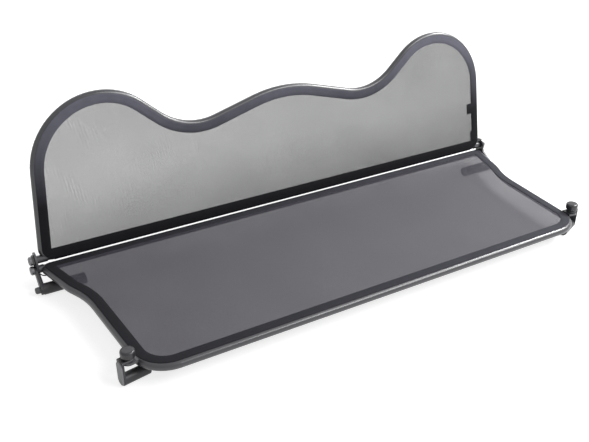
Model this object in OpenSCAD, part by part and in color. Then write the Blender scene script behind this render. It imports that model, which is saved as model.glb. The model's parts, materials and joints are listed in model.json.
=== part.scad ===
// Convertible wind deflector: a flat mesh panel that stands over the rear seats and an
// upright mesh screen that folds forward onto it. All sizes in millimetres.
// X runs along the fold line, Y to the back, Z up. The part stands on Z = 0.

/* [Tube frames] */
// Diameter of the bent steel tube
tube_d = 16; // [14:1:18]
// Half length of the panel's rear tube, centre to centre
panel_half = 593; // [560:1:620]
// Half length of the screen's bottom tube, centre to centre
screen_half = 589; // [560:1:620]
// Distance from the panel's rear tube to its front tube
panel_depth = 427; // [380:1:470]
// Height of the two humps above the fold line
hump_h = 320.5; // [300:0.5:340]
// Height of the dips between the humps and the middle
dip_h = 204.5; // [190:0.5:215]
// Height of the low crest in the middle
crest_h = 270.5; // [255:0.5:285]
// Lean of the screen from upright, in degrees
screen_lean = 5.8; // [3:0.1:9]

/* [Height and fold line] */
// Height of the panel's top surface above the floor
panel_h = 47.5; // [46:0.5:54]
// Height of the fold line above the panel's top surface
fold_rise = 11; // [10.5:0.5:16]
// Distance of the fold line behind the panel's rear tube
fold_back = 5; // [3:0.5:7]

/* [Mesh and binding] */
// Thickness of the woven mesh
mesh_t = 0.5; // [0.4:0.1:0.6]
// Thickness of the binding's lip
lip_t = 0.8; // [0.6:0.1:0.8]
// Reach of the binding's lip inwards from the tube's centre
lip_reach = 18; // [16:1:20]
// Reach of the wider lip along the screen's bottom tube
low_lip_reach = 20.5; // [18:0.5:26]

/* [Corner fittings] */
// Diameter of the round pin housings
housing_d = 24; // [23:1:30]
// Diameter of the front brackets' lower arms
arm_d = 22; // [20:1:26]
// Diameter of the sprung locating pins
pin_d = 14; // [12:1:16]
// Diameter of the clamp knobs
knob_d = 27; // [24:1:30]
// Diameter of the clamp studs
stud_d = 8; // [6:1:8]
// Swing of the left bracket from straight out, in degrees
left_swing = 10; // [-40:1:40]
// Swing of the right bracket from straight out, in degrees
right_swing = -22; // [-40:1:40]

/* [Hidden] */
$fn = 64;

tube_r = tube_d / 2;
fit = 0.05;                      // radial play of a running fit
gap = 0.3;                       // play between parts that move past each other
hair = 0.02;
bead_h = 0.1;                    // how far a weld bead stands off the tube
clip_r = tube_r + 1;             // outside of the binding where it hugs the tube
panel_tube_z = -clip_r;          // panel tube's centre below the top surface

// The fold line is the axis of the screen's bottom tube
rear_y = 5;
fold_y = rear_y + fold_back;
front_y = rear_y - panel_depth;

// Front and back of the whole part, which put the origin at the middle of its footprint
part_front = front_y - tube_r - bead_h;
part_back = fold_y + hump_h * sin(screen_lean) + tube_r + bead_h;
shift_y = -(part_front + part_back) / 2;

// Corner points of the tubes' centre lines, each with its bend radius
panel_right = [[519, front_y, 62], [541, -150, 200], [564, -100, 90], [panel_half, rear_y, 12]];
panel_path = concat(panel_right, mirrored(panel_right));
screen_right = [[screen_half, 0, 20], [565, hump_h - 62, 152], [466, hump_h, 140],
                [376, hump_h, 128], [244, dip_h, 140]];
screen_path = concat(screen_right, [[0, crest_h, 288]], mirrored(screen_right));

// Binding: a flat lip over the mesh and the tube, and a hug round the tube's inner side
lip_z = clip_r - lip_t;
clip_play = 0.1;                 // between the binding and the tube
mesh_z = lip_z - 0.05 - mesh_t;
mesh_in = tube_r + 2;            // the mesh's edge from the tube's centre line
seam = 0.05;                     // gap between the hug's straight and bent lengths

// Corner brackets
stud_x = 539;
stud_y = -379;
arm_r = arm_d / 2;
lug_t = 5;
lug_top = 1;                     // above the panel's top surface
flange_t = 4.5;
flange_z = lug_top + gap;
web_x = 14;                      // inner face of the outer wall from the stud
web_t = 3;
pad_t = 2.5;
arm_in = 37;                     // reach of the lower arm inwards from the stud
arm_z = arm_r - panel_h;         // centre of the lower arms, which stand on the floor
web_top = flange_z + flange_t;
washer_t = 3;
knob_z = web_top + washer_t + gap;
knob_top = 22.5;
knob_edge = 4.5;
stud_top = 16;

// Rear pin housings, measured along X
housing_y = -33;
housing_r = housing_d / 2;
housing_z = housing_r - panel_h; // centre of the housings, which stand on the floor
housing_in = 517;
cap_t = 4;
bore_in = 525;
bore_out = 594;
bore_r = 9;
leg_t = 5;                       // the leg from the housing up to the anchor screw
rib_t = 3.7;                     // the rib that thickens the leg's inner side
pin_tip = 622;
pin_edge = 4;                    // rounding of the pin's end
pin_r = pin_d / 2;
flange_x = bore_out - gap;       // outer face of the pin's flange
spring_r = 6;
wire_r = 0.8;

// Hinges
plate_x = 601.8;
plate_t = 4.2;
leg_x = plate_x + plate_t;
disc_t = 4.2;
disc_x = leg_x + gap;
disc_r = 12;
end_r = 8.4;                     // radius of the cross tubes' closed ends
core_r = 7;                      // radius of the bar inside each closed end
screw_r = 4;
head_r = 9.5;
anchor_z = panel_tube_z;
anchor_head_left = 8;
anchor_head_right = 2.5;         // the right anchor screw has a low head
groove_x = leg_x + leg_t + 0.5;  // a thin groove parts the pin's shank from its tip

function mirrored(p) = [for (i = [len(p) - 1:-1:0]) [-p[i].x, p[i].y, p[i].z]];
function flat(v) = [v.x, v.y];
function unit(v) = v / norm(v);
function turn(a, b) = atan2(a.x * b.y - a.y * b.x, a * b);
function heading(a) = atan2(a.y, a.x);
function left_of(a) = [-a.y, a.x];

// Bend i of a closed path: its start, end and centre, the headings into and out of it,
// its turn and its radius
function bend(p, i) =
    let (n = len(p), here = flat(p[i]),
         a = unit(here - flat(p[(i + n - 1) % n])), b = unit(flat(p[(i + 1) % n]) - here),
         t = turn(a, b), r = p[i].z, run = r * tan(abs(t) / 2), way = t > 0 ? 1 : -1)
    [here - a * run, here + b * run, here - a * run + left_of(a) * r * way,
     heading(a), heading(b), t, r];

// Points along a closed path that is moved inwards by d: a bend tighter than d turns sharp
function inset_points(p, d, step = 5) =
    [for (i = [0:len(p) - 1])
        let (c = bend(p, i), way = c[5] > 0 ? 1 : -1, r = c[6] - way * d,
             steps = r > 0 ? ceil(abs(c[5]) / step) : 0)
        for (k = [0:steps])
            let (a = c[3] - way * 90 + c[5] * k / max(steps, 1), half = c[3] + 90 + c[5] / 2)
            r > 0 ? c[2] + r * [cos(a), sin(a)]
                  : flat(p[i]) + d / cos(c[5] / 2) * [cos(half), sin(half)]];

// Points of a coil along X, six round the wire
function coil_points(x0, x1, r, w, turns, steps) =
    [for (i = [0:turns * steps], j = [0:5])
        let (a = 360 * i / steps, b = 60 * j, q = r + w * cos(b))
        [x0 + (x1 - x0) * i / (turns * steps) + w * sin(b), q * cos(a), q * sin(a)]];

function coil_faces(n) =
    concat([[for (j = [0:5]) j]],
           [for (i = [0:n - 1], j = [0:5])
               [6 * i + j, 6 * (i + 1) + j, 6 * (i + 1) + (j + 1) % 6, 6 * i + (j + 1) % 6]],
           [[for (j = [5:-1:0]) 6 * n + j]]);

// Sweeps its first child round a closed path: the section's X points inwards, its Y up.
// Straights are short of the bends by cut_end, and a second child joins each end to its bend.
module sweep_loop(p, cut_end = 0) {
    n = len(p);
    for (i = [0:n - 1]) {
        here = bend(p, i);
        next = bend(p, (i + 1) % n);
        run = norm(next[0] - here[1]);
        translate([here[1].x, here[1].y, 0]) rotate([90, 0, here[4] + 90]) {
            translate([0, 0, cut_end]) linear_extrude(run - 2 * cut_end) children(0);
            if ($children > 1) {
                children(1);
                translate([0, 0, run]) children(1);
            }
        }
        translate([here[2].x, here[2].y, 0])
            if (here[5] > 0)
                rotate(here[3] - 90) rotate_extrude(angle = here[5])
                    translate([here[6], 0]) mirror([1, 0]) children(0);
            else
                rotate(here[4] + 90) rotate_extrude(angle = -here[5])
                    translate([here[6], 0]) children(0);
    }
}

// A weld bead where a bend of the tube meets a straight
module bead() rotate_extrude()
    polygon([[0, -0.5], [tube_r - 0.3, -0.5], [tube_r + bead_h, -0.15],
             [tube_r + bead_h, 0.15], [tube_r - 0.3, 0.5], [0, 0.5]]);

// A plate between two round ends
module link(a, ra, b, rb, t) {
    d = norm(b - a);
    way = heading(b - a);
    open = acos((ra - rb) / d);
    up = [cos(way + open), sin(way + open)];
    down = [cos(way - open), sin(way - open)];
    translate(a) cylinder(r = ra, h = t);
    translate(b) cylinder(r = rb, h = t);
    linear_extrude(t)
        polygon([a + (ra + hair) * up, b + (rb + hair) * up, b + (rb + hair) * down, a + (ra + hair) * down]);
}

// A round bar from z0 to z1 with cut edges of e0 and e1
module chamfered(r, z0, z1, e0, e1) {
    rotate_extrude() polygon([[0, z0], [r - e0, z0], [r, z0 + e0], [r, z1 - e1], [r - e1, z1], [0, z1]]);
}

// Places
module on_panel() translate([0, shift_y, panel_h]) children();
module on_screen() on_panel() translate([0, fold_y, fold_rise]) rotate([90 - screen_lean, 0, 0]) children();
module handed(s) mirror([s < 0 ? 1 : 0, 0, 0]) children();
module along_x(x) translate([x, 0, 0]) rotate([90, 0, 90]) children();
module at_fold_line() on_panel() translate([0, fold_y, fold_rise]) children();
module at_housing() on_panel() translate([0, housing_y, housing_z]) children();
module at_anchor() on_panel() translate([0, rear_y, anchor_z]) children();
module at_stud() on_panel() translate([stud_x, stud_y, 0]) children();
module at_bracket(s) at_stud() rotate(-(s < 0 ? left_swing : right_swing)) children();

// Sections
module tube_section() circle(tube_r);

module hug_section() difference() {
    circle(clip_r);
    circle(tube_r + clip_play);
    polygon([[0, 0], 20 * [cos(75), sin(75)], [-20, 20], [-20, -20], 20 * [cos(-60), sin(-60)]]);
}

// The opening inside the lip starts at low_edge, measured along Y
module binding(p, low_edge) {
    translate([0, 0, lip_z]) linear_extrude(lip_t) difference() {
        polygon(inset_points(p, 0));
        intersection() {
            polygon(inset_points(p, lip_reach));
            translate([-panel_half, low_edge]) square([2 * panel_half, panel_depth]);
        }
    }
    sweep_loop(p, seam) hug_section();
}

// The panel
module panel_frame() color("#2b2b2e") on_panel() {
    difference() {
        union() {
            translate([0, 0, panel_tube_z]) sweep_loop(panel_path) {
                tube_section();
                bead();
            }
            for (s = [-1, 1]) handed(s) {
                front_lug();
                translate([0, rear_y, anchor_z]) tube_end(572, 590, plate_x);
            }
        }
        for (s = [-1, 1]) handed(s) {
            translate([0, rear_y, anchor_z]) along_x(579) cylinder(r = screw_r + fit, h = 30);
            translate([stud_x, stud_y, lug_top - lug_t - 1]) cylinder(r = stud_d / 2 + fit, h = lug_t + 2);
        }
    }
}

// The closed end of a cross tube: a bar inside the tube, and the full round where it shows
module tube_end(x0, x1, x2) {
    along_x(x0) cylinder(r = core_r, h = x2 - x0);
    along_x(x1) chamfered(end_r, 0, x2 - x1, 0.4, 0.8);
}

module front_lug() translate([0, 0, lug_top - lug_t]) difference() {
    link([stud_x, stud_y], 13, [stud_x - 15, stud_y + 2], 12, lug_t);
    translate([stud_x - 14.4, stud_y, -1]) rotate(-4.6) translate([-40, -30]) cube([40, 60, lug_t + 2]);
}

module panel_mesh() color("#6f6f78") on_panel() translate([0, 0, panel_tube_z + mesh_z])
    linear_extrude(mesh_t) polygon(inset_points(panel_path, mesh_in));

module panel_binding() color("#1d1d20") on_panel() translate([0, 0, panel_tube_z])
    binding(panel_path, front_y);

// The folding screen
module screen_frame() color("#2b2b2e") on_screen() difference() {
    union() {
        sweep_loop(screen_path) {
            tube_section();
            bead();
        }
        for (s = [-1, 1]) handed(s) tube_end(573, 580, plate_x - gap);
    }
    for (s = [-1, 1]) handed(s) along_x(580) cylinder(r = screw_r + fit, h = 30);
}

module screen_mesh() color("#8c8c92") on_screen() translate([0, 0, mesh_z])
    linear_extrude(mesh_t) polygon(inset_points(screen_path, mesh_in));

module screen_binding() color("#1d1d20") on_screen() binding(screen_path, low_lip_reach);

module screen_edge_tabs() color("#19191b") on_screen() {
    translate([546, 97.5, clip_r]) rotate(5.4) cube([24, 28, 0.8]);
    translate([562.5, 21.5, clip_r]) rotate(5.4) cube([16, 27, 0.8]);
}

// Hinges
module hinge_plate() color("#303034") on_panel() along_x(plate_x) difference() {
    link([fold_y, fold_rise], 17, [rear_y, anchor_z], 10, plate_t);
    translate([fold_y, fold_rise, -1]) cylinder(r = screw_r + fit, h = plate_t + 2);
    translate([rear_y, anchor_z, -1]) cylinder(r = screw_r + fit, h = plate_t + 2);
}

// The disc turns with the screen on the plate's outer side
module hinge_disc() color("#303034") at_fold_line() along_x(disc_x) difference() {
    chamfered(disc_r, 0, disc_t, 0.6, 0.6);
    translate([0, 0, -1]) cylinder(r = screw_r + fit, h = disc_t + 2);
}

// A screw along X from x0, with a round head from x1 to x2 and a hexagon socket
module screw(x0, x1, x2) {
    along_x(x0) cylinder(r = screw_r, h = x1 - x0);
    along_x(x1) difference() {
        chamfered(head_r, 0, x2 - x1, 0.2, min(2.4, (x2 - x1) / 2));
        translate([0, 0, (x2 - x1) * 0.55]) cylinder(r = 2.9, h = x2 - x1, $fn = 6);
    }
}

module pivot_screw() color("#8a8a8e") at_fold_line() screw(581, disc_x + disc_t, disc_x + disc_t + 7.5);

module anchor_screw(s) color("#8a8a8e") at_anchor()
    screw(580, leg_x + leg_t, leg_x + leg_t + (s < 0 ? anchor_head_left : anchor_head_right));

// Rear locating pins
module pin_housing() color("#26262a") difference() {
    union() {
        at_housing() along_x(housing_in + cap_t) chamfered(housing_r, 0, leg_x - housing_in - cap_t, 0, 1);
        on_panel() along_x(leg_x) link([rear_y, anchor_z], 8, [housing_y, housing_z], 11, leg_t);
        on_panel() along_x(leg_x - rib_t)
            link([rear_y - 12.7, anchor_z - 8.9], 5, [housing_y, housing_z], 10, rib_t + 1);
    }
    at_housing() along_x(housing_in) cylinder(r = bore_r, h = bore_out - housing_in);
    at_housing() along_x(bore_out - 1) cylinder(r = pin_r + fit, h = 30);
    at_anchor() along_x(plate_x) cylinder(r = screw_r + fit, h = 30);
}

module housing_cap() color("#232327") at_housing() {
    along_x(housing_in) chamfered(housing_r, 0, cap_t, 1, 0);
    along_x(housing_in + 3) chamfered(bore_r - fit, 0, bore_in - housing_in - 3, 0, 0.8);
}

module pin_spring() color("#9a9aa0") at_housing()
    polyhedron(coil_points(bore_in + wire_r + 0.2, flange_x - 4 - wire_r - 0.2, spring_r, wire_r, 9, 14),
               coil_faces(126));

module locating_pin() color("#3a3a3f") at_housing() {
    along_x(flange_x - 4) cylinder(r = bore_r - fit, h = 4);
    along_x(flange_x - 30) chamfered(3.5, 0, 27, 0.8, 0);
    along_x(flange_x) rotate_extrude() difference() {
        round_end_section(pin_r, 0, pin_tip - flange_x, pin_edge);
        translate([pin_r - 0.6, groove_x - flange_x]) square([2, 1]);
    }
}

// Half the section of a round bar from z0 to z1 whose upper edge is rounded by e
module round_end_section(r, z0, z1, e) {
    translate([0, z0]) square([r - e, z1 - z0]);
    translate([0, z0]) square([r, z1 - e - z0]);
    intersection() {
        translate([r - e, z1 - e]) circle(e);
        translate([0, z0]) square([r, z1]);
    }
}

// Front clamps
module clamp_stud() color("#77777c") at_stud() translate([0, 0, lug_top - lug_t]) {
    cylinder(r = stud_d / 2, h = stud_top - lug_top + lug_t);
}

// The wall's outline: square at the top, round about the lower arm
module wall_outline() {
    translate([0, arm_z]) circle(arm_r);
    translate([-arm_r, arm_z]) square([arm_d, web_top - 4 - arm_z]);
    for (s = [-1, 1]) translate([s * (arm_r - 4), web_top - 4]) circle(4);
    translate([4 - arm_r, web_top - 5]) square([arm_d - 8, 5]);
}

module corner_bracket(s) color("#242428") at_bracket(s) {
    difference() {
        intersection() {
            translate([0, 0, flange_z]) linear_extrude(flange_t) {
                circle(arm_r);
                translate([0, -arm_r]) square([web_x + web_t, arm_d]);
            }
            along_x(-30) linear_extrude(80) wall_outline();
        }
        cylinder(r = stud_d / 2 + fit, h = 20);
    }
    along_x(web_x) linear_extrude(web_t) wall_outline();
    translate([0, 0, arm_z]) along_x(-arm_in) chamfered(arm_r, 0, arm_in + web_x + 1, 1.5, 0);
}

module pressure_pad(s) color("#8f8f93") at_bracket(s) along_x(web_x + web_t)
    link([0, arm_z + 0.5], arm_r - 1.5, [0, web_top - 12], arm_r - 1.5, pad_t);

module clamp_washer(s) color("#77777c") at_bracket(s) translate([0, 0, web_top]) difference() {
    chamfered(9, 0, washer_t, 0.2, 0.2);
    translate([0, 0, -1]) cylinder(r = stud_d / 2 + 0.15, h = washer_t + 2);
}

module clamp_knob() color("#202023") at_stud() difference() {
    rotate_extrude() difference() {
        round_end_section(knob_d / 2, knob_z, knob_top, knob_edge);
        translate([knob_d / 2, knob_z]) rotate(45) square([1.6, 1.6], center = true);
    }
    translate([0, 0, knob_z - 1]) cylinder(r = stud_d / 2 + fit, h = stud_top + 1 - knob_z);
}

panel_frame();
panel_mesh();
panel_binding();
screen_frame();
screen_mesh();
screen_binding();
screen_edge_tabs();
handed(-1) hinge_plate();  // hinge_plate_left
handed(1) hinge_plate();  // hinge_plate_right
handed(-1) hinge_disc();  // hinge_disc_left
handed(1) hinge_disc();  // hinge_disc_right
handed(-1) pivot_screw();  // pivot_screw_left
handed(1) pivot_screw();  // pivot_screw_right
handed(-1) anchor_screw(-1);  // anchor_screw_left
handed(1) anchor_screw(1);  // anchor_screw_right
handed(-1) pin_housing();  // pin_housing_left
handed(1) pin_housing();  // pin_housing_right
handed(-1) housing_cap();  // housing_cap_left
handed(1) housing_cap();  // housing_cap_right
handed(-1) pin_spring();  // pin_spring_left
handed(1) pin_spring();  // pin_spring_right
handed(-1) locating_pin();  // locating_pin_left
handed(1) locating_pin();  // locating_pin_right
handed(-1) clamp_stud();  // clamp_stud_left
handed(1) clamp_stud();  // clamp_stud_right
handed(-1) corner_bracket(-1);  // corner_bracket_left
handed(1) corner_bracket(1);  // corner_bracket_right
handed(-1) pressure_pad(-1);  // pressure_pad_left
handed(1) pressure_pad(1);  // pressure_pad_right
handed(-1) clamp_washer(-1);  // clamp_washer_left
handed(1) clamp_washer(1);  // clamp_washer_right
handed(-1) clamp_knob();  // clamp_knob_left
handed(1) clamp_knob();  // clamp_knob_right
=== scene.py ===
"""Looks of a folding wind deflector: painted tube frames, stretched net, hem tape and corner fittings."""

from __future__ import annotations

import json
import logging
import math
from dataclasses import dataclass, field
from enum import Enum
from typing import Any, Iterable, Sequence

import bmesh
import bpy
from mathutils import Matrix, Vector

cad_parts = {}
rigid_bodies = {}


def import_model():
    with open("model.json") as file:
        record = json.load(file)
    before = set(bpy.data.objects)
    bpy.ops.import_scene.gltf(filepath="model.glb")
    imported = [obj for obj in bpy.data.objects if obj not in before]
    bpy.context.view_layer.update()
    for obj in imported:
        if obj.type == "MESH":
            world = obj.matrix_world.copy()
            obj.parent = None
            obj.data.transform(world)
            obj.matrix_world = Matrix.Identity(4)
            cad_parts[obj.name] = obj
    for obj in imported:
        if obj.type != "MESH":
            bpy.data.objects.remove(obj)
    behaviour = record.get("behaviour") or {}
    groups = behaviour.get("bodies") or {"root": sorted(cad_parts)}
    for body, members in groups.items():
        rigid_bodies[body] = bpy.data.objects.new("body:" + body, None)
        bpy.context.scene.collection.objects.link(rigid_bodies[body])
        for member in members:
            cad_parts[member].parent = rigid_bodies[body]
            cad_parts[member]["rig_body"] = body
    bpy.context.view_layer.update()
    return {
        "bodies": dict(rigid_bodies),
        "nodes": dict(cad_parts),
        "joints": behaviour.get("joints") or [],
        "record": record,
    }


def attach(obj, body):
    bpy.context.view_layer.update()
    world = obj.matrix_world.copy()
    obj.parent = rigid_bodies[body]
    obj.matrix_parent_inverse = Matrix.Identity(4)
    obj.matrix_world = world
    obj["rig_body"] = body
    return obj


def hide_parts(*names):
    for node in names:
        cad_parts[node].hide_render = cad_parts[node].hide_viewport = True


log = logging.getLogger("wind_deflector")

MM = 0.001
FULL_TURN = 2.0 * math.pi
MERGE_M = 0.000002
MERGE_MM = 0.0005

ROW_PITCH = 0.0066
ROW_BEND = 0.35
ROW_DEPTH = 0.02
FLECKS_PER_M = 260.0
FLECK_DEPTH = 0.12
STITCH_PITCH = 0.0035
STITCH_WIDTH = 0.0005
TAPE_SHEEN = 0.15

Colour = tuple[float, float, float]
Plan = tuple[float, float]


class Side(Enum):
    """The two ends of the part, as seen from the front."""

    LEFT = -1
    RIGHT = 1

    @property
    def label(self) -> str:
        """The word that ends the names of this side's nodes."""
        return self.name.lower()

    @property
    def sign(self) -> int:
        """The sign of X on this side."""
        return int(self.value)


class Weave(Enum):
    """How a textile is made, which picks its pattern."""

    NET = "net"
    TAPE = "tape"


class Tone:
    """A number that varies over a surface: a shader socket with arithmetic."""

    def __init__(self, bench: "Bench", socket: bpy.types.NodeSocket) -> None:
        """Wraps a socket.

        Args:
            bench: The node tree's helper that adds maths nodes.
            socket: The output that carries the number.
        """
        self.bench = bench
        self.socket = socket

    def __add__(self, other: "Tone | float") -> "Tone":
        """The sum of two numbers."""
        return self.bench.maths("ADD", self, other)

    def __radd__(self, other: float) -> "Tone":
        """The sum with a plain number first."""
        return self.bench.maths("ADD", other, self)

    def __sub__(self, other: "Tone | float") -> "Tone":
        """The difference of two numbers."""
        return self.bench.maths("SUBTRACT", self, other)

    def __rsub__(self, other: float) -> "Tone":
        """A plain number less this one."""
        return self.bench.maths("SUBTRACT", other, self)

    def __mul__(self, other: "Tone | float") -> "Tone":
        """The product of two numbers."""
        return self.bench.maths("MULTIPLY", self, other)

    def __rmul__(self, other: float) -> "Tone":
        """The product with a plain number first."""
        return self.bench.maths("MULTIPLY", other, self)

    def __truediv__(self, other: "Tone | float") -> "Tone":
        """The quotient of two numbers."""
        return self.bench.maths("DIVIDE", self, other)

    def wave(self) -> "Tone":
        """The sine of the number in radians."""
        return self.bench.maths("SINE", self)

    def size(self) -> "Tone":
        """The number without its sign."""
        return self.bench.maths("ABSOLUTE", self)

    def at_most(self, other: "Tone | float") -> "Tone":
        """The smaller of two numbers."""
        return self.bench.maths("MINIMUM", self, other)

    def at_least(self, other: "Tone | float") -> "Tone":
        """The larger of two numbers."""
        return self.bench.maths("MAXIMUM", self, other)

    def clipped(self) -> "Tone":
        """The number kept between zero and one."""
        return self.at_least(0.0).at_most(1.0)


class Bench:
    """One material's node tree, with short ways to add its nodes."""

    def __init__(self, name: str) -> None:
        """Makes an empty material.

        Args:
            name: The material's name.
        """
        self.material = bpy.data.materials.new(name)
        self.material.use_nodes = True
        self.tree = self.material.node_tree
        self.tree.nodes.clear()
        self.out = self.tree.nodes.new("ShaderNodeOutputMaterial")

    def node(self, kind: str, settings: dict[str, Any] | None = None,
             inputs: dict[str | int, Any] | None = None) -> bpy.types.Node:
        """Adds a node.

        Args:
            kind: The node's type.
            settings: Its properties, set first.
            inputs: Values or links for its sockets, by name or number.

        Returns:
            The new node.
        """
        made = self.tree.nodes.new(kind)
        for key, value in (settings or {}).items():
            setattr(made, key, value)
        for key, value in (inputs or {}).items():
            self.plug(made.inputs[key], value)
        return made

    def plug(self, socket: bpy.types.NodeSocket, value: Any) -> None:
        """Puts a value on a socket, or links a tone or an output to it.

        Args:
            socket: The input to fill.
            value: A number, a colour, an output socket or a Tone.
        """
        if isinstance(value, Tone):
            value = value.socket
        if isinstance(value, bpy.types.NodeSocket):
            self.tree.links.new(value, socket)
            return
        if isinstance(value, tuple) and len(value) == 3 and socket.type == "RGBA":
            value = (*value, 1.0)
        socket.default_value = value

    def maths(self, operation: str, *values: Tone | float) -> Tone:
        """Adds a Math node.

        Args:
            operation: What it works out.
            values: Its inputs in order.

        Returns:
            Its result.
        """
        made = self.node("ShaderNodeMath", {"operation": operation}, dict(enumerate(values)))
        return Tone(self, made.outputs[0])

    def place(self, by_uv: bool = False) -> bpy.types.NodeSocket:
        """Where a point lies.

        Args:
            by_uv: Reads the piece's own UV map instead of object coordinates.

        Returns:
            The coordinate socket.
        """
        made = self.node("ShaderNodeTexCoord")
        return made.outputs["UV" if by_uv else "Object"]

    def axes(self, place: bpy.types.NodeSocket) -> tuple[Tone, Tone, Tone]:
        """Splits a coordinate into its three numbers.

        Args:
            place: The coordinate socket.

        Returns:
            The X, Y and Z tones.
        """
        made = self.node("ShaderNodeSeparateXYZ", {}, {0: place})
        return Tone(self, made.outputs[0]), Tone(self, made.outputs[1]), Tone(self, made.outputs[2])

    def noise(self, place: bpy.types.NodeSocket, scale: float, detail: float = 2.0, rough: float = 0.5) -> Tone:
        """Adds a noise pattern.

        Args:
            place: The coordinate socket.
            scale: Waves per metre.
            detail: Number of finer layers.
            rough: Strength of the finer layers.

        Returns:
            The pattern, around one half.
        """
        made = self.node("ShaderNodeTexNoise", {},
                         {"Vector": place, "Scale": scale, "Detail": detail, "Roughness": rough})
        return Tone(self, made.outputs["Fac"])

    def blend(self, amount: Tone, first: Colour, second: Colour) -> bpy.types.NodeSocket:
        """Mixes two colours.

        Args:
            amount: Zero gives the first colour and one the second.
            first: A colour.
            second: Another colour.

        Returns:
            The mixed colour's socket.
        """
        made = self.node("ShaderNodeMix", {"data_type": "RGBA"}, {0: amount, 6: first, 7: second})
        return made.outputs[2]

    def tinted(self, colour: Colour, factor: Tone) -> bpy.types.NodeSocket:
        """A colour made lighter or darker.

        Args:
            colour: The colour.
            factor: What it is multiplied by.

        Returns:
            The colour's socket.
        """
        made = self.node("ShaderNodeVectorMath", {"operation": "SCALE"}, {0: colour, "Scale": factor})
        return made.outputs[0]

    def relief(self, height: Tone, depth: float, strength: float = 1.0) -> bpy.types.NodeSocket:
        """Turns a height into a bumped normal.

        Args:
            height: The height, from zero to one.
            depth: What one unit of height is, in metres.
            strength: How much of it shows.

        Returns:
            The normal's socket.
        """
        made = self.node("ShaderNodeBump", {}, {"Strength": strength, "Distance": depth, "Height": height})
        return made.outputs["Normal"]

    def finish(self, **inputs: Any) -> bpy.types.Material:
        """Ends the material in one Principled shader.

        Args:
            inputs: Its sockets, with spaces written as underscores.

        Returns:
            The material.
        """
        named = {key.replace("_", " "): value for key, value in inputs.items()}
        shader = self.node("ShaderNodeBsdfPrincipled", {}, named)
        self.tree.links.new(shader.outputs[0], self.out.inputs[0])
        return self.material


@dataclass(frozen=True)
class PowderCoat:
    """Black powder coat on steel: an even satin with a fine orange peel."""

    name: str = "powder coat"
    colour: Colour = (0.026, 0.026, 0.031)
    roughness: float = 0.32
    gloss: float = 0.75
    peel_per_m: float = 900.0
    peel_depth: float = 0.00004

    def build(self) -> bpy.types.Material:
        """Makes the material."""
        bench = Bench(self.name)
        place = bench.place()
        peel = bench.noise(place, self.peel_per_m, 2.0)
        dust = bench.noise(place, 22.0, 4.0, 0.6)
        lighter = tuple(c * 1.5 for c in self.colour)
        return bench.finish(
            Base_Color=bench.blend(dust, self.colour, lighter),
            Roughness=self.roughness + 0.14 * (dust - 0.5),
            Specular_IOR_Level=self.gloss,
            Normal=bench.relief(peel, self.peel_depth, 0.6))


@dataclass(frozen=True)
class Fade:
    """Painted light and shade on a textile: a brightness ramp from one place to another along an axis in metres,
    darker where the lamps light it less and lighter where they light it more.
    """

    axis: int
    start: float
    end: float
    least: float
    most: float

    def strength(self, bench: Bench) -> Tone:
        """The painted light and shade brightness factor over the piece.

        Args:
            bench: The material's tree.

        Returns:
            The factor, from least to most.
        """
        along = bench.axes(bench.place())[self.axis]
        return self.least + ((along - self.start) / (self.end - self.start)).clipped() * (self.most - self.least)


@dataclass(frozen=True)
class Textile:
    """Knitted net or woven tape, in the piece's own UV metres."""

    name: str
    weave: Weave
    colour: Colour
    pitch: float
    openness: float = 0.5
    contrast: float = 0.4
    across_fade: float = 0.0
    low_fade: float = 0.0
    fade: Fade | None = None
    seam_at: float = 0.0
    roughness: float = 0.75

    def net(self, bench: Bench) -> bpy.types.Material:
        """Makes the net's material: a fine lattice of holes with faint knitting rows.

        Args:
            bench: The material's tree.

        Returns:
            The material.
        """
        place = bench.place(by_uv=True)
        across, along, _ = bench.axes(place)
        turn = FULL_TURN / self.pitch
        drift = bench.noise(place, 6.0, 2.0)
        first = ((across + along) * turn).wave()
        second = ((across - along) * turn).wave()
        holes = (first + second) * 0.5
        patches = ((bench.noise(place, 9.0, 1.0) - 0.45) * 6.0).clipped()
        rows = ((across + along * along * ROW_BEND) * (FULL_TURN / ROW_PITCH)).wave() * patches * ROW_DEPTH
        fleck = (bench.noise(place, FLECKS_PER_M, 1.0) - 0.5) * FLECK_DEPTH
        low = (1.0 - along * 7.0).clipped()
        denser = across * self.across_fade + low * self.low_fade + drift * 0.08 - 0.04
        alpha = 1.0 - (self.openness + self.contrast * holes - denser + rows + fleck).clipped()
        darker = tuple(c * 0.6 for c in self.colour)
        return bench.finish(
            Base_Color=bench.blend(holes * -0.3 + 0.4 + drift * 0.3, darker, self.colour),
            Roughness=self.roughness,
            Alpha=alpha)

    def tape(self, bench: Bench) -> bpy.types.Material:
        """Makes the tape's material: a plain weave along the tape with one row of stitches.

        Args:
            bench: The material's tree.

        Returns:
            The material.
        """
        place = bench.place(by_uv=True)
        along, across, _ = bench.axes(place)
        turn = FULL_TURN / self.pitch
        drift = bench.noise(place, 30.0, 3.0)
        threads = ((across * turn).wave() * (along * turn).wave()) * 0.5 + 0.5
        line = 1.0 - ((across - self.seam_at).size() / STITCH_WIDTH).at_most(1.0)
        stitches = line * ((along * (FULL_TURN / STITCH_PITCH)).wave() * 2.0).clipped()
        factor = (0.7 + threads * 0.35 + drift * 0.5) * (1.0 + stitches * 1.4)
        # Painted light and shade: the tape's colour is scaled along one axis to stand in for how the lamps fall on
        # it.
        if self.fade:
            factor = factor * self.fade.strength(bench)
        return bench.finish(
            Base_Color=bench.tinted(self.colour, factor),
            Roughness=self.roughness,
            Specular_IOR_Level=TAPE_SHEEN,
            Normal=bench.relief(threads * 0.6 + stitches, self.pitch * 0.3, 0.5))

    def build(self) -> bpy.types.Material:
        """Makes the material."""
        bench = Bench(self.name)
        return self.net(bench) if self.weave is Weave.NET else self.tape(bench)


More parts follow.
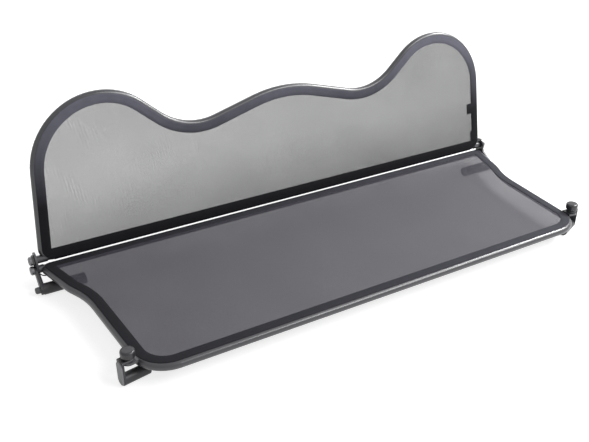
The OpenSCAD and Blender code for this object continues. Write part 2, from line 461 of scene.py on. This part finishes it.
@dataclass(frozen=True)
class Moulding:
    """Moulded plastic or rubber with a fine spark-eroded grain."""

    name: str
    colour: Colour
    roughness: float = 0.5
    grain_per_m: float = 1600.0
    grain_depth: float = 0.00005

    def build(self) -> bpy.types.Material:
        """Makes the material."""
        bench = Bench(self.name)
        place = bench.place()
        grain = bench.noise(place, self.grain_per_m, 3.0)
        handling = bench.noise(place, 35.0, 4.0, 0.6)
        lighter = tuple(min(1.0, c * 1.35) for c in self.colour)
        return bench.finish(
            Base_Color=bench.blend(handling, self.colour, lighter),
            Roughness=self.roughness + 0.12 * (handling - 0.5),
            Normal=bench.relief(grain, self.grain_depth, 0.5))


@dataclass(frozen=True)
class BareSteel:
    """Turned or drawn steel, bright or blackened, with marks along X."""

    name: str
    colour: Colour
    roughness: float = 0.32

    def build(self) -> bpy.types.Material:
        """Makes the material."""
        bench = Bench(self.name)
        place = bench.place()
        marks = bench.node("ShaderNodeMapping", {}, {"Vector": place, "Scale": (4000.0, 300.0, 300.0)})
        lines = bench.noise(marks.outputs[0], 1.0, 3.0)
        return bench.finish(
            Base_Color=bench.blend(lines, self.colour, tuple(c * 0.8 for c in self.colour)),
            Metallic=1.0,
            Roughness=self.roughness + 0.1 * (lines - 0.5),
            Normal=bench.relief(lines, 0.00002, 0.4))


@dataclass(frozen=True)
class Bend:
    """One rounded corner of a bent tube's centre line, in millimetres."""

    x: float
    y: float
    radius: float


@dataclass
class TubeLoop:
    """A closed centre line of straights and round bends in its own flat plane.

    The right half is given from the middle of one cross tube to the other, and the left half mirrors it.
    """

    right_half: Sequence[Bend]
    middle: Sequence[Bend] = ()
    place: Matrix = field(default_factory=Matrix)

    @property
    def bends(self) -> list[Bend]:
        """Every bend in order."""
        left = [Bend(-b.x, b.y, b.radius) for b in reversed(self.right_half)]
        return [*self.right_half, *self.middle, *left]

    def walk(self, inset: float, spacing: float, bend_step: float = 3.0) -> list[tuple[Vector, Vector, float]]:
        """Goes round the loop.

        Args:
            inset: How far inwards of the centre line to walk, in millimetres.
            spacing: Largest gap between points on the straights, in millimetres.
            bend_step: Largest turn between points on the bends, in degrees.

        Returns:
            For each point its place, its heading and the distance walked on the centre line.
        """
        bends = self.bends
        count = len(bends)
        corners = [Vector((b.x, b.y)) for b in bends]
        stops: list[tuple[Vector, Vector, float]] = []
        walked = 0.0
        for i, bend in enumerate(bends):
            here = corners[i]
            into = (here - corners[i - 1]).normalized()
            out = (corners[(i + 1) % count] - here).normalized()
            turn = math.atan2(into.cross(out), into.dot(out))
            way = 1.0 if turn > 0 else -1.0
            reach = bend.radius * math.tan(abs(turn) / 2)
            start = here - into * reach
            centre = start + Vector((-into.y, into.x)) * bend.radius * way
            if stops:
                last, heading, _ = stops[-1]
                last = last - Vector((-heading.y, heading.x)) * inset
                run = (start - last).length
                steps = max(1, math.ceil(run / spacing))
                for k in range(1, steps):
                    point = last.lerp(start, k / steps)
                    stops.append((point + Vector((-into.y, into.x)) * inset, into, walked + run * k / steps))
                walked += run
            steps = max(1, math.ceil(math.degrees(abs(turn)) / bend_step),
                        math.ceil(abs(turn) * bend.radius / spacing))
            for k in range(steps + 1):
                angle = turn * k / steps
                heading = Matrix.Rotation(angle, 2) @ into
                offset = -Vector((-heading.y, heading.x)) * (bend.radius * way - inset)
                stops.append((centre + offset, heading, walked + abs(angle) * bend.radius))
            walked += abs(turn) * bend.radius
        last, heading, _ = stops[-1]
        first = stops[0][0]
        run = (first - last).length
        steps = max(1, math.ceil(run / spacing))
        for k in range(1, steps):
            stops.append((last.lerp(first, k / steps), heading, walked + run * k / steps))
        return stops

    def holds(self, point: Plan, outline: Sequence[Vector]) -> bool:
        """Whether a point lies inside an outline.

        Args:
            point: The point, in millimetres.
            outline: The outline's points.

        Returns:
            True inside.
        """
        inside = False
        x, y = point
        before = outline[-1]
        for here in outline:
            if (here.y > y) != (before.y > y):
                cut = (before.x - here.x) * (y - here.y) / (before.y - here.y) + here.x
                inside = inside != (x < cut)
            before = here
        return inside


def next_ring(mesh: bmesh.types.BMesh, edges: Sequence[bmesh.types.BMEdge]
              ) -> tuple[list[bmesh.types.BMVert], list[bmesh.types.BMEdge]]:
    """Extrudes a ring of edges into the next one, which still lies on the first.

    Args:
        mesh: The bmesh.
        edges: The last ring's edges.

    Returns:
        The new ring's vertices and edges.
    """
    made = bmesh.ops.extrude_edge_only(mesh, edges=edges)["geom"]
    ring = [g for g in made if isinstance(g, bmesh.types.BMVert)]
    return ring, [g for g in made if isinstance(g, bmesh.types.BMEdge) and all(v in ring for v in g.verts)]


class Shop:
    """Makes pieces from bmeshes and keeps the finishes."""

    def __init__(self, frame: dict[str, Any]) -> None:
        """Holds the loaded frame.
        """
        self.frame = frame
        self.made: dict[str, bpy.types.Material] = {}

    def finish(self, finish: Any) -> bpy.types.Material:
        """A finish's material, made once.

        Args:
            finish: A finish dataclass.

        Returns:
            Its material.
        """
        if finish.name not in self.made:
            self.made[finish.name] = finish.build()
        return self.made[finish.name]

    def piece(self, name: str, mesh: bmesh.types.BMesh, finish: Any, smooth: float = 40.0) -> bpy.types.Object:
        """Turns a bmesh in metres into a piece.

        Args:
            name: The piece's name.
            mesh: Its bmesh, which is used up.
            finish: Its finish.
            smooth: Edges sharper than this stay sharp, in degrees.

        Returns:
            The piece.
        """
        for face in mesh.faces:
            face.smooth = True
        for edge in mesh.edges:
            edge.smooth = not (len(edge.link_faces) == 2 and edge.calc_face_angle(0.0) > math.radians(smooth))
        data = bpy.data.meshes.new(name)
        mesh.to_mesh(data)
        mesh.free()
        made = bpy.data.objects.new(name, data)
        bpy.context.scene.collection.objects.link(made)
        data.materials.append(self.finish(finish))
        log.info("%s: %d faces", name, len(data.polygons))
        return made

    def polished(self, node: str, finish: Any, smooth: float = 35.0) -> bpy.types.Object:
        """Stands a welded, smooth-shaded copy of a CAD node in for it.

        Args:
            node: The node's name.
            finish: Its finish.
            smooth: Edges sharper than this stay sharp, in degrees.

        Returns:
            The piece.
        """
        source = self.frame["nodes"][node]
        mesh = bmesh.new()
        mesh.from_mesh(source.data)
        bmesh.ops.remove_doubles(mesh, verts=mesh.verts, dist=MERGE_M)
        made = self.piece(node + ".finished", mesh, finish, smooth)
        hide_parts(node)
        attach(made, source["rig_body"])
        return made

    def thicken(self, made: bpy.types.Object, thickness: float) -> None:
        """Gives a sheet its thickness, half to each side.

        Args:
            made: The piece.
            thickness: Its thickness, in millimetres.
        """
        wall = made.modifiers.new("thickness", "SOLIDIFY")
        wall.thickness = thickness * MM
        wall.offset = 0.0

    def swept(self, stops: Sequence[tuple[Vector, Vector, float]], profile: Sequence[Plan]) -> bmesh.types.BMesh:
        """Sweeps a closed profile round a closed flat path, ring by ring.

        The UV map runs along the path and round the profile, in metres. Each vertex keeps how far inwards
        of the path it was meant to lie in the float layer "inwards".

        Args:
            stops: The path's points in millimetres, with their headings and the distance walked.
            profile: The profile's points in millimetres: inwards and up.

        Returns:
            The swept bmesh in millimetres.
        """
        mesh = bmesh.new()
        rib = mesh.verts.layers.int.new("rib")
        inwards = mesh.verts.layers.float.new("inwards")
        station = mesh.verts.layers.float.new("station")
        girth = [0.0]
        for before, here in zip(profile, [*profile[1:], profile[0]]):
            girth.append(girth[-1] + math.dist(before, here))
        ring = [mesh.verts.new((0.0, 0.0, 0.0)) for _ in profile]
        for k, vert in enumerate(ring):
            vert[rib] = k
            vert[inwards] = profile[k][0]
        edges = [mesh.edges.new((a, b)) for a, b in zip(ring, [*ring[1:], ring[0]])]
        first, heading, _ = stops[0]
        last, _, walked = stops[-1]
        closing = (first, heading, walked + (first - last).length)
        for k, (point, heading, walked) in enumerate([*stops, closing]):
            if k:
                ring, edges = next_ring(mesh, edges)
            side = Vector((-heading.y, heading.x))
            for vert in ring:
                u, w = profile[vert[rib]]
                vert.co = (point.x + side.x * u, point.y + side.y * u, w)
                vert[station] = walked
        chart = mesh.loops.layers.uv.new("sheet")
        last_rib = len(profile) - 1
        for face in mesh.faces:
            wraps = {v[rib] for v in face.verts} == {0, last_rib}
            for corner in face.loops:
                k = corner.vert[rib]
                around = girth[-1] if wraps and k == 0 else girth[k]
                corner[chart].uv = (corner.vert[station] * MM, around * MM)
        bmesh.ops.remove_doubles(mesh, verts=mesh.verts, dist=MERGE_MM)
        bmesh.ops.recalc_face_normals(mesh, faces=mesh.faces)
        return mesh


@dataclass
class Net:
    """A net stretched under the hem tape of one frame."""

    name: str
    node: str
    body: str
    loop: TubeLoop
    finish: Textile
    height: float = 7.9
    thickness: float = 0.5
    edge_inset: float = 11.5
    cell: float = 5.0
    sag: float = 0.9

    def build(self, shop: Shop) -> bpy.types.Object:
        """Makes the net as a thin sheet with its own UV map.

        Args:
            shop: The piece maker.

        Returns:
            The piece.
        """
        outline = [p for p, _, _ in self.loop.walk(self.edge_inset, 40.0)]
        low = Vector((min(p.x for p in outline), min(p.y for p in outline)))
        high = Vector((max(p.x for p in outline), max(p.y for p in outline)))
        span = high - low
        middle = (high + low) / 2
        mesh = bmesh.new()
        bmesh.ops.create_grid(mesh, x_segments=round(span.x / self.cell), y_segments=round(span.y / self.cell),
                              size=0.5, matrix=Matrix.Diagonal((span.x, span.y, 1.0, 1.0)))
        bmesh.ops.translate(mesh, verts=mesh.verts, vec=(middle.x, middle.y, self.height))
        outside = [f for f in mesh.faces if not self.loop.holds(f.calc_center_median().xy, outline)]
        bmesh.ops.delete(mesh, geom=outside, context="FACES")
        chart = mesh.loops.layers.uv.new("sheet")
        for face in mesh.faces:
            for corner in face.loops:
                corner[chart].uv = corner.vert.co.xy * MM
        for vert in mesh.verts:
            x = (vert.co.x - middle.x) / span.x * 2
            y = (vert.co.y - middle.y) / span.y * 2
            hollow = max(0.0, 1 - x ** 4) * max(0.0, 1 - y ** 2)
            ripple = 0.25 * math.sin(vert.co.x * 0.021) * math.sin(vert.co.y * 0.017 + 1.0)
            vert.co.z -= hollow * (self.sag + ripple)
        # This adds up the net's own faces; the sum is not used further. This adds up the net's own
        # faces, so the table check's area share compares the net with itself.
        area = sum(f.calc_area() for f in mesh.faces) * MM * MM
        bmesh.ops.transform(mesh, matrix=self.loop.place @ Matrix.Scale(MM, 4), verts=mesh.verts)
        made = shop.piece(self.name, mesh, self.finish)
        shop.thicken(made, self.thickness)
        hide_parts(self.node)
        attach(made, self.body)
        return made


@dataclass
class HemTape:
    """The woven tape that holds the net to one frame's tube."""

    name: str
    node: str
    body: str
    loop: TubeLoop
    finish: Textile
    tube_radius: float = 8.0
    clearance: float = 0.12
    rise: float = 1.0
    tape: float = 0.85
    reach: float = 18.0
    low_reach: float = 0.0
    corner_span: float = 60.0

    def profile(self) -> list[Plan]:
        """The tape's section: a hug round the tube's inner side and a lip over the net."""
        inner = self.tube_radius + self.clearance
        top = self.tube_radius + self.rise
        under = top - self.tape
        hug_in = [(inner * math.cos(math.radians(a)), inner * math.sin(math.radians(a)))
                  for a in range(92, -61, -8)]
        hug_out = [(top * math.cos(math.radians(a)), top * math.sin(math.radians(a)))
                   for a in range(-60, 41, 10)]
        lip = [(7.6, 7.4), (8.6, under - 0.05), (10.5, under), (self.reach - 0.5, under),
               (self.reach, under + 0.25), (self.reach, top - 0.25), (self.reach - 0.5, top),
               (10.0, top + 0.05), (3.0, top + 0.02), (0.0, top), (-1.0, top - 0.2), (-1.2, top - 0.6)]
        return hug_in + hug_out + lip

    def mitre(self, mesh: bmesh.types.BMesh) -> None:
        """Draws the lip to a sharp inner corner wherever a bend is tighter than the lip is wide.

        Args:
            mesh: The swept tape, in millimetres.
        """
        inwards = mesh.verts.layers.float["inwards"]
        bends = self.loop.bends
        for i, bend in enumerate(bends):
            if bend.radius >= self.reach:
                continue
            here = Vector((bend.x, bend.y))
            before = Vector((bends[i - 1].x, bends[i - 1].y))
            after = Vector((bends[(i + 1) % len(bends)].x, bends[(i + 1) % len(bends)].y))
            into, out = (here - before).normalized(), (after - here).normalized()
            half = math.atan2(into.cross(out), into.dot(out)) / 2
            inner = (Vector((-into.y, into.x)) + Vector((-out.y, out.x))).normalized() / math.cos(half)
            for vert in mesh.verts:
                u = vert[inwards]
                offset = vert.co.xy - here
                back = u * math.tan(half)
                near = offset.length < self.corner_span
                if near and u > bend.radius and -offset.dot(into) < back and offset.dot(out) < back:
                    vert.co.xy = here + inner * u
        bmesh.ops.dissolve_degenerate(mesh, edges=mesh.edges, dist=0.001)

    def build(self, shop: Shop) -> bpy.types.Object:
        """Makes the tape.

        Args:
            shop: The piece maker.

        Returns:
            The piece.
        """
        mesh = shop.swept(self.loop.walk(0.0, 12.0), self.profile())
        self.mitre(mesh)
        inwards = mesh.verts.layers.float["inwards"]
        for vert in mesh.verts:
            if vert[inwards] > self.reach - 1 and vert.co.y < self.reach + 0.1 and self.low_reach:
                vert.co.y += self.low_reach - self.reach
        bmesh.ops.transform(mesh, matrix=self.loop.place @ Matrix.Scale(MM, 4), verts=mesh.verts)
        made = shop.piece(self.name, mesh, self.finish, 50.0)
        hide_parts(self.node)
        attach(made, self.body)
        return made


@dataclass
class Sleeve:
    """The tape sleeve round the screen's bottom tube, which turns on the fold line."""

    finish: Textile
    centre: Vector
    half_length: float = 566.0
    radius: float = 8.5
    tape: float = 0.5
    segments: int = 40
    steps: int = 48
    seam_shift: float = 40.0

    def build(self, shop: Shop) -> bpy.types.Object:
        """Makes the sleeve.

        Args:
            shop: The piece maker.

        Returns:
            The piece.
        """
        mesh = bmesh.new()
        ring = bmesh.ops.create_circle(mesh, segments=self.segments, radius=self.radius,
                                       matrix=Matrix.Translation((0, 0, -self.half_length)))["verts"]
        edges = list({e for v in ring for e in v.link_edges})
        for _ in range(self.steps):
            ring, edges = next_ring(mesh, edges)
            bmesh.ops.translate(mesh, verts=ring, vec=(0, 0, 2 * self.half_length / self.steps))
        chart = mesh.loops.layers.uv.new("sheet")
        for face in mesh.faces:
            middle = face.calc_center_median()
            centre = math.atan2(middle.y, middle.x)
            for corner in face.loops:
                here = math.atan2(corner.vert.co.y, corner.vert.co.x)
                here += FULL_TURN * round((centre - here) / FULL_TURN)
                corner[chart].uv = (corner.vert.co.z * MM, (here * self.radius + self.seam_shift) * MM)
        bmesh.ops.recalc_face_normals(mesh, faces=mesh.faces)
        bmesh.ops.transform(mesh, matrix=Matrix.Translation(self.centre * MM) @ Matrix.Rotation(math.pi / 2, 4, "Y")
                            @ Matrix.Scale(MM, 4), verts=mesh.verts)
        made = shop.piece("fold_sleeve", mesh, self.finish)
        shop.thicken(made, self.tape)
        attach(made, "screen")
        return made


@dataclass
class Frames:
    """The two bent tube frames with their nets and tapes, all in millimetres."""

    panel_height: float = 47.5
    tube_below_top: float = 9.0
    fold_rise: float = 11.0
    fold_back: float = 10.0
    lean: float = 5.8
    shift_y: float = 189.806
    panel_bends: tuple[Bend, ...] = (Bend(519, -422, 62), Bend(541, -150, 200), Bend(564, -100, 90), Bend(593, 5, 12))
    screen_bends: tuple[Bend, ...] = (Bend(589, 0, 20), Bend(565, 258.5, 152), Bend(466, 320.5, 140),
                                      Bend(376, 320.5, 128), Bend(244, 204.5, 140))
    screen_crest: Bend = Bend(0, 270.5, 288)

    @property
    def fold_line(self) -> Vector:
        """A point in the middle of the line that the screen turns on."""
        return Vector((0, self.shift_y + self.fold_back, self.panel_height + self.fold_rise))

    def panel_loop(self) -> TubeLoop:
        """The panel's centre line, with its plane at the tube's centre."""
        place = Matrix.Translation((0, self.shift_y * MM, (self.panel_height - self.tube_below_top) * MM))
        return TubeLoop(self.panel_bends, (), place)

    def screen_loop(self) -> TubeLoop:
        """The screen's centre line, standing on the fold line."""
        tilt = Matrix.Rotation(math.radians(90 - self.lean), 4, "X")
        return TubeLoop(self.screen_bends, (self.screen_crest,), Matrix.Translation(self.fold_line * MM) @ tilt)

    def build(self, shop: Shop) -> None:
        """Makes both frames' soft parts and finishes their tubes.

        Args:
            shop: The piece maker.
        """
        coat = PowderCoat()
        black = (0.019, 0.019, 0.0235)
        seam = 0.047
        # The tape ramps are painted light and shade: the panel tape lighter towards the right, the screen tape
        # lighter towards its top.
        panel_tape = Textile("panel tape", Weave.TAPE, black, 0.0011, roughness=0.8, seam_at=seam,
                             fade=Fade(0, -0.56, 0.45, 0.5, 1.9))
        screen_tape = Textile("screen tape", Weave.TAPE, black, 0.0011, roughness=0.8, seam_at=seam,
                              fade=Fade(2, 0.17, 0.34, 0.35, 6.2))
        panel_net = Textile("panel net", Weave.NET, (0.044, 0.041, 0.056), 0.0016, openness=0.31, contrast=0.28)
        screen_net = Textile("screen net", Weave.NET, (0.05, 0.05, 0.052), 0.0016, openness=0.475, contrast=0.34,
                             across_fade=0.11, low_fade=0.1)
        shop.polished("panel_frame", coat)
        shop.polished("screen_frame", coat)
        Net("panel_net", "panel_mesh", "panel", self.panel_loop(), panel_net).build(shop)
        Net("screen_net", "screen_mesh", "screen", self.screen_loop(), screen_net, sag=0.0).build(shop)
        HemTape("panel_tape", "panel_binding", "panel", self.panel_loop(), panel_tape).build(shop)
        HemTape("screen_tape", "screen_binding", "screen", self.screen_loop(), screen_tape,
                low_reach=20.5).build(shop)
        Sleeve(screen_tape, self.fold_line).build(shop)
        shop.polished("screen_edge_tabs", screen_tape)


@dataclass
class Fittings:
    """The hinges, pins and clamps at the four corners."""

    brace_radius: float = 1.6
    brace_foot: tuple[float, float, float] = (602.6, 0.5, -15.5)
    brace_end: tuple[float, float, float] = (588.5, -13.5, -13.5)
    brace_segments: int = 12
    brace_steps: int = 18
    brace_sag: float = 0.55

    def build(self, shop: Shop) -> None:
        """Finishes every fitting.

        Args:
            shop: The piece maker.
        """
        paint = PowderCoat("bracket paint", (0.03, 0.03, 0.033), 0.36)
        plastic = Moulding("black moulding", (0.024, 0.024, 0.027), 0.45)
        knob = Moulding("knob moulding", (0.02, 0.02, 0.023), 0.32, 700.0)
        pin = Moulding("pin moulding", (0.07, 0.07, 0.075), 0.4)
        rubber = Moulding("grey rubber", (0.3, 0.3, 0.31), 0.7, 900.0, 0.0001)
        black_steel = BareSteel("blackened steel", (0.18, 0.18, 0.19), 0.38)
        wire = BareSteel("spring wire", (0.6, 0.6, 0.62), 0.25)
        wear = {"hinge_plate": paint, "hinge_disc": paint, "pivot_screw": black_steel, "anchor_screw": black_steel,
                "pin_housing": plastic, "housing_cap": plastic, "pin_spring": wire, "locating_pin": pin,
                "clamp_stud": black_steel, "corner_bracket": plastic, "pressure_pad": rubber,
                "clamp_washer": black_steel, "clamp_knob": knob}
        for name, finish in wear.items():
            for side in Side:
                shop.polished(f"{name}_{side.label}", finish)
        for side in Side:
            self.brace(shop, side, paint)

    def brace(self, shop: Shop, side: Side, finish: PowderCoat) -> bpy.types.Object:
        """Bends the small wire brace from a hinge plate's foot under to the side tube.

        Args:
            shop: The piece maker.
            side: Which end.
            finish: Its paint.

        Returns:
            The piece.
        """
        foot = Vector(self.brace_foot)
        tube = Vector(self.brace_end)
        span = tube - foot
        middle = (foot + tube) / 2
        mesh = bmesh.new()
        ring = bmesh.ops.create_circle(mesh, segments=self.brace_segments, radius=self.brace_radius)["verts"]
        turn = span.normalized().cross(Vector((0, 0, 1))).normalized()
        facing = Vector((0, 0, 1)).rotation_difference(turn.cross(span)).to_matrix().to_4x4()
        bmesh.ops.transform(mesh, matrix=Matrix.Translation(foot) @ facing, verts=ring)
        bmesh.ops.spin(mesh, geom=list(mesh.verts) + list(mesh.edges), cent=middle, axis=turn, dvec=(0, 0, 0),
                       angle=math.pi, steps=self.brace_steps, use_merge=False)
        for vert in mesh.verts:
            vert.co.z = middle.z + (vert.co.z - middle.z) * self.brace_sag
            vert.co.x *= side.sign
        open_edges = [e for e in mesh.edges if len(e.link_faces) == 1]
        bmesh.ops.edgeloop_fill(mesh, edges=open_edges)
        bmesh.ops.recalc_face_normals(mesh, faces=mesh.faces)
        lift = Matrix.Translation(Vector((0, Frames.shift_y, Frames.panel_height)) * MM)
        bmesh.ops.transform(mesh, matrix=lift @ Matrix.Scale(MM, 4), verts=mesh.verts)
        made = shop.piece(f"hinge_brace_{side.label}", mesh, finish)
        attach(made, "panel")
        return made


@dataclass
class Studio:
    """The white floor, the soft lights and the camera."""

    camera_at: tuple[float, float, float] = (-0.8016, -1.4140 + 0.189806, 0.8502 + 0.0475)
    pitch_down: float = 29.225
    yaw_right: float = 29.842
    focal_px: float = 759.31
    frame_px: float = 589.0
    film: float = 36.0
    floor_size: float = 30.0
    floor_glow: float = 0.74
    floor_grey: float = 0.55
    sky: float = 0.33

    def camera(self) -> None:
        """Sets the camera where the photograph was taken from."""
        data = bpy.data.cameras.new("camera")
        data.sensor_width = self.film
        data.lens = self.focal_px / self.frame_px * self.film
        data.clip_end = 100.0
        made = bpy.data.objects.new("camera", data)
        made.location = self.camera_at
        made.rotation_euler = (math.radians(90 - self.pitch_down), 0.0, math.radians(-self.yaw_right))
        bpy.context.scene.collection.objects.link(made)
        bpy.context.scene.camera = made

    def seen(self, bench: Bench) -> Tone:
        """One for rays that the eye follows straight, in gloss or through glass.

        Args:
            bench: The material or world tree.

        Returns:
            The mask.
        """
        path = bench.node("ShaderNodeLightPath")
        camera, gloss, glass = (Tone(bench, path.outputs[n]) for n in
                                ("Is Camera Ray", "Is Glossy Ray", "Is Transmission Ray"))
        return (camera + gloss + glass).clipped()

    def floor(self) -> None:
        """Lays the floor, which glows a little to the eye and still takes the shadow."""
        mesh = bmesh.new()
        bmesh.ops.create_grid(mesh, x_segments=1, y_segments=1, size=self.floor_size / 2)
        data = bpy.data.meshes.new("floor")
        mesh.to_mesh(data)
        mesh.free()
        made = bpy.data.objects.new("floor", data)
        bpy.context.scene.collection.objects.link(made)
        bench = Bench("floor")
        body = bench.node("ShaderNodeBsdfDiffuse", {}, {"Color": (self.floor_grey,) * 3})
        glow = bench.node("ShaderNodeEmission", {}, {"Color": (1.0, 1.0, 1.0), "Strength": self.floor_glow})
        both = bench.node("ShaderNodeAddShader", {}, {0: body.outputs[0], 1: glow.outputs[0]})
        pick = bench.node("ShaderNodeMixShader", {}, {0: self.seen(bench), 1: body.outputs[0], 2: both.outputs[0]})
        bench.tree.links.new(pick.outputs[0], bench.out.inputs[0])
        data.materials.append(bench.material)

    def world(self) -> None:
        """Sets a white world for the eye and a softer one for the light."""
        made = bpy.data.worlds.new("studio")
        bpy.context.scene.world = made
        made.use_nodes = True
        tree = made.node_tree
        tree.nodes.clear()
        path = tree.nodes.new("ShaderNodeLightPath")
        seen = path.outputs["Is Camera Ray"]
        for also in ("Is Glossy Ray", "Is Transmission Ray"):
            either = tree.nodes.new("ShaderNodeMath")
            either.operation = "MAXIMUM"
            tree.links.new(seen, either.inputs[0])
            tree.links.new(path.outputs[also], either.inputs[1])
            seen = either.outputs[0]
        span = tree.nodes.new("ShaderNodeMapRange")
        span.inputs["To Min"].default_value = self.sky
        span.inputs["To Max"].default_value = 1.0
        tree.links.new(seen, span.inputs["Value"])
        sky = tree.nodes.new("ShaderNodeBackground")
        sky.inputs["Color"].default_value = (1.0, 1.0, 1.0, 1.0)
        tree.links.new(span.outputs[0], sky.inputs["Strength"])
        out = tree.nodes.new("ShaderNodeOutputWorld")
        tree.links.new(sky.outputs[0], out.inputs[0])

    def softbox(self, name: str, at: tuple[float, float, float], towards: tuple[float, float, float],
                size: tuple[float, float], power: float) -> None:
        """Hangs one soft light.

        Args:
            name: The light's name.
            at: Where it hangs, in metres.
            towards: What it points at.
            size: Its width and height, in metres.
            power: Its power, in watts.
        """
        data = bpy.data.lights.new(name, "AREA")
        data.shape = "RECTANGLE"
        data.size, data.size_y = size
        data.energy = power
        made = bpy.data.objects.new(name, data)
        made.location = at
        made.rotation_euler = (Vector(towards) - Vector(at)).to_track_quat("-Z", "Y").to_euler()
        bpy.context.scene.collection.objects.link(made)

    def build(self) -> None:
        """Makes the whole studio."""
        self.camera()
        self.floor()
        self.world()
        self.softbox("key", (2.1, -1.3, 2.4), (0.4, 0.0, 0.1), (3.8, 0.9), 120.0)
        self.softbox("back", (0.9, 2.0, 1.9), (0.1, 0.0, 0.1), (3.0, 1.0), 16.0)
        self.softbox("right", (2.3, 0.0, 2.0), (0.5, 0.0, 0.0), (0.8, 0.6), 55.0)
        bpy.context.scene.view_settings.view_transform = "Standard"


def main() -> None:
    """Loads the frame, builds the studio and every piece."""
    logging.basicConfig(level=logging.INFO, format="%(message)s")
    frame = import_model()
    shop = Shop(frame)
    Studio().build()
    Frames().build(shop)
    Fittings().build(shop)


if __name__ == "__main__":
    main()
